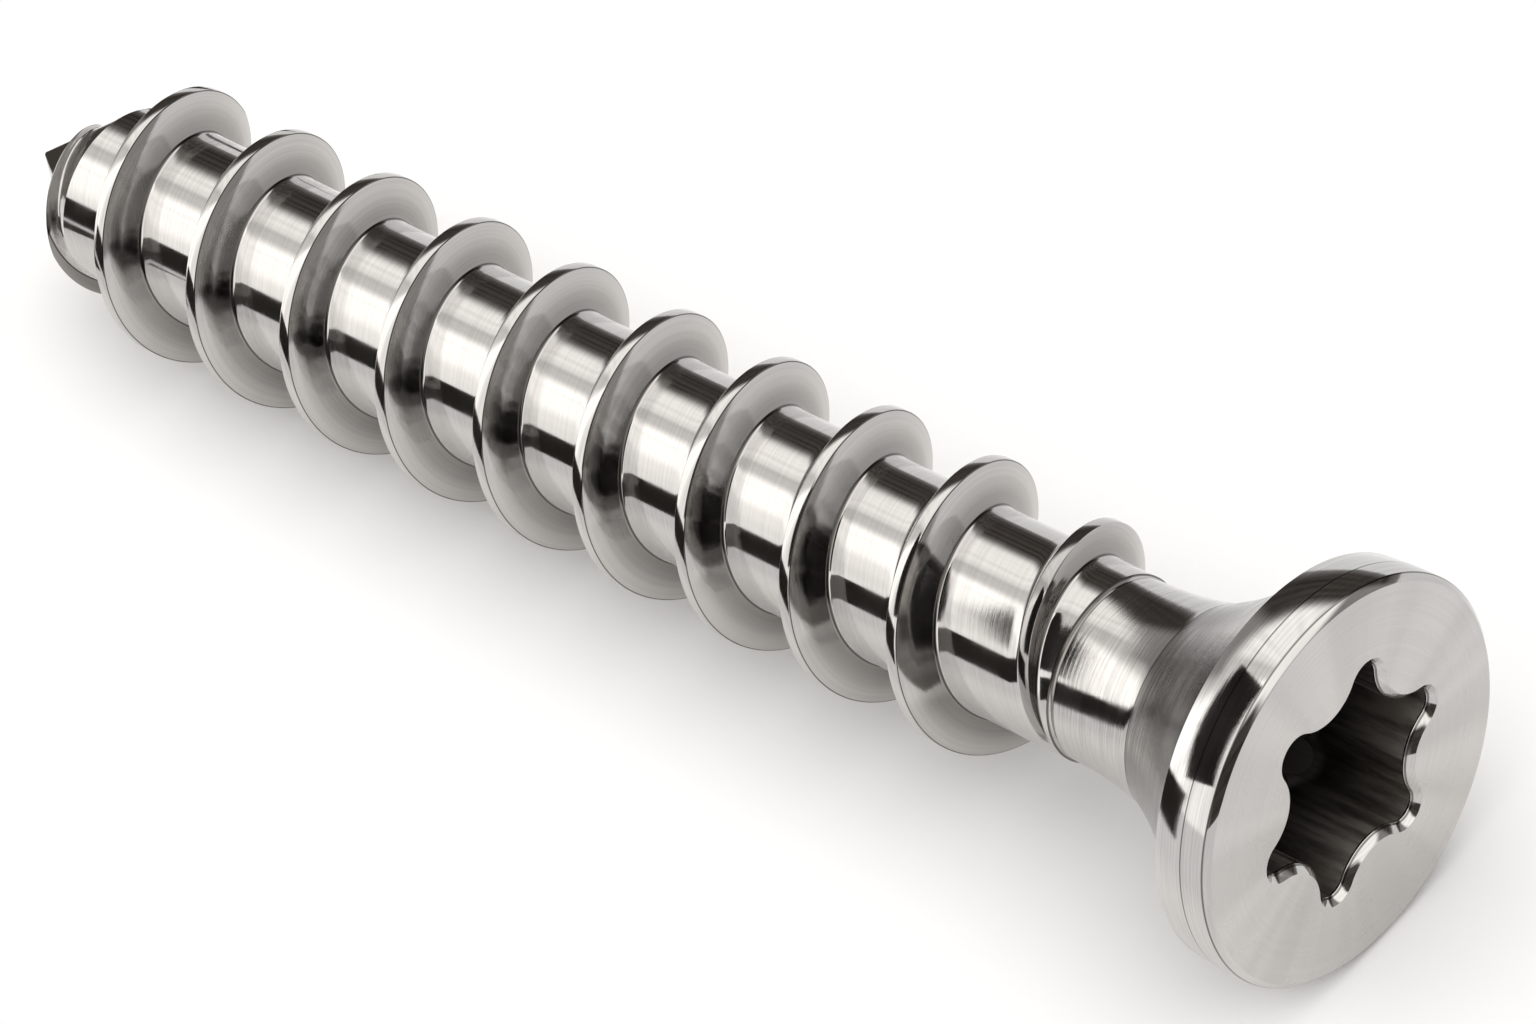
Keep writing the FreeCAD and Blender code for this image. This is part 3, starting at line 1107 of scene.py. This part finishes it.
def makeCloth(name):
    cloth = cloths[name]
    deselectEverything()
    bpy.ops.mesh.primitive_plane_add(size=1)
    obj = bpy.context.object
    obj.name = name
    centre = Vector(cloth["centre"])
    normal = (Vector(cloth["toward"]) - centre).normalized()
    across = Vector(cloth["side"])
    across = (across - normal * across.dot(normal)).normalized()
    along = across.cross(normal)
    corners = [(-0.5, -0.5), (0.5, -0.5), (-0.5, 0.5), (0.5, 0.5)]
    places = [centre + along * a * cloth["along"] + across * b * cloth["across"] for a, b in corners]
    setPoints(obj, np.array([list(p * mm) for p in places]))
    material, tree, shader = newMaterial(name)
    shader.inputs["Base Color"].default_value = shaded(cloth["colour"])
    shader.inputs["Roughness"].default_value = 1.0
    shader.inputs["Specular IOR Level"].default_value = 0.0
    obj.data.materials.append(material)
    obj.visible_camera = False
    obj.visible_diffuse = False
    obj.visible_shadow = False


for clothName in cloths:
    makeCloth(clothName)
print("cloths")

# studio light painted on the sky: softboxes overhead and in front, dark cloths behind and beside.
# Sides are degrees round from the front, -Y, towards +X; heights are degrees above the horizon.
# Three numbers are from, to and the softness of both ends; two are where a smooth change starts
# and ends.

studio = {
    "room": 0.38,
    "box": 1.70,
    "peak": 2.3,
    "dip": 0.90,
    "dipShare": 0.8,
    "other": 1.65,
    "slat": 0.7,
    "slatShare": 0.3,
    "dark": 0.035,
    "fold": 0.13,
    "paleTint": (1.0, 0.985, 0.965),
    "darkTint": (1.0, 0.88, 0.79),
    "boxHeight": (32.0, 42.0),
    "boxSide": (-150.0, 40.0, 10.0),
    "chamferSide": (84.0, 150.0, 6.0),
    "chamferHeight": (28.0, 52.0, 4.0),
    "frontSide": (-80.0, 20.0, 8.0),
    "frontHeight": (-4.0, 2.0),
    "peakSide": (-72.0, -48.0, 4.0),
    "dipSide": (-96.0, -78.0, 5.0),
    "leftBehind": (-122.0, -112.0),
    "rightBehind": (150.0, 158.0),
    "behindHeight": (2.0, 35.0, 6.0),
    "rightSide": (44.0, 80.0, 4.0),
    "rightHeight": (-5.0, 36.0, 3.0),
    "foldLines": (0.35, 0.02),
    "foldRange": (0.35, 0.7),
    "slatLines": (0.16, 0.01, 3.0),
    "slatRange": (0.42, 0.66),
}


def anglesOfRay(tree):
    ray = tree.nodes.new("ShaderNodeTexCoord").outputs["Generated"]
    parts = tree.nodes.new("ShaderNodeSeparateXYZ")
    wire(tree, ray, parts.inputs[0])
    x, y, z = parts.outputs
    degrees = 180 / math.pi
    height = times(tree, calc(tree, "ARCSINE", z), degrees)
    front = times(tree, y, -1.0)
    azimuth = times(tree, calc(tree, "ARCTAN2", x, front), degrees)
    return azimuth, height


def makeStudio():
    world = bpy.data.worlds.new("studio")
    world.use_nodes = True
    tree = world.node_tree
    azimuth, height = anglesOfRay(tree)

    def paint(level, tint="paleTint"):
        return shaded(studio[tint], studio[level])

    def side(name):
        return within(tree, azimuth, *studio[name])

    def heights(name):
        return within(tree, height, *studio[name])

    def both(first, second):
        return times(tree, first, second)

    def either(first, second):
        return calc(tree, "MAXIMUM", first, second)

    # softboxes
    overhead = smooth(tree, height, *studio["boxHeight"])
    boxSide = side("boxSide")
    overBox = both(overhead, boxSide)
    chamferBox = both(side("chamferSide"), heights("chamferHeight"))
    colour = blend(tree, either(overBox, chamferBox), paint("room"), paint("box"))
    frontBox = both(side("frontSide"), smooth(tree, height, *studio["frontHeight"]))
    colour = blend(tree, frontBox, colour, paint("box"))
    otherSide = both(overhead, calc(tree, "SUBTRACT", 1.0, boxSide))
    colour = blend(tree, otherSide, colour, paint("other"))

    # a brighter and a dimmer part of them, and slats
    lit = either(overBox, frontBox)
    colour = blend(tree, both(side("peakSide"), lit), colour, paint("peak"))
    dip = both(side("dipSide"), lit)
    colour = blend(tree, times(tree, dip, studio["dipShare"]), colour, paint("dip"))
    acrossSlats, alongSlats, slatPlace = studio["slatLines"]
    slats = combine(tree, times(tree, azimuth, acrossSlats), times(tree, height, alongSlats), slatPlace)
    slats = smooth(tree, noise(tree, slats, 1.0, 5.0, 0.6), *studio["slatRange"])
    colour = blend(tree, times(tree, both(slats, lit), studio["slatShare"]), colour, paint("slat"))

    # dark cloths behind and beside, with fine uneven lines as of folds
    upFolds, roundFolds = studio["foldLines"]
    folds = combine(tree, times(tree, height, upFolds), times(tree, azimuth, roundFolds), 0.0)
    fold = smooth(tree, noise(tree, folds, 1.0, 5.0, 0.7), *studio["foldRange"])
    dark = blend(tree, fold, paint("dark", "darkTint"), paint("fold", "darkTint"))
    leftBehind = smooth(tree, azimuth, *studio["leftBehind"], 1.0, 0.0)
    behind = either(leftBehind, smooth(tree, azimuth, *studio["rightBehind"]))
    colour = blend(tree, both(behind, heights("behindHeight")), colour, dark)
    colour = blend(tree, both(side("rightSide"), heights("rightHeight")), colour, dark)

    background = tree.nodes["Background"]
    wire(tree, colour, background.inputs["Color"])
    white = tree.nodes.new("ShaderNodeBackground")
    white.inputs["Color"].default_value = (1, 1, 1, 1)
    straight = tree.nodes.new("ShaderNodeLightPath").outputs["Is Camera Ray"]
    surface = tree.nodes["World Output"].inputs["Surface"]
    mixShaders(tree, straight, background.outputs[0], white.outputs[0], surface)
    bpy.context.scene.world = world
    bpy.context.scene.view_settings.view_transform = "Standard"


makeStudio()
print("studio")
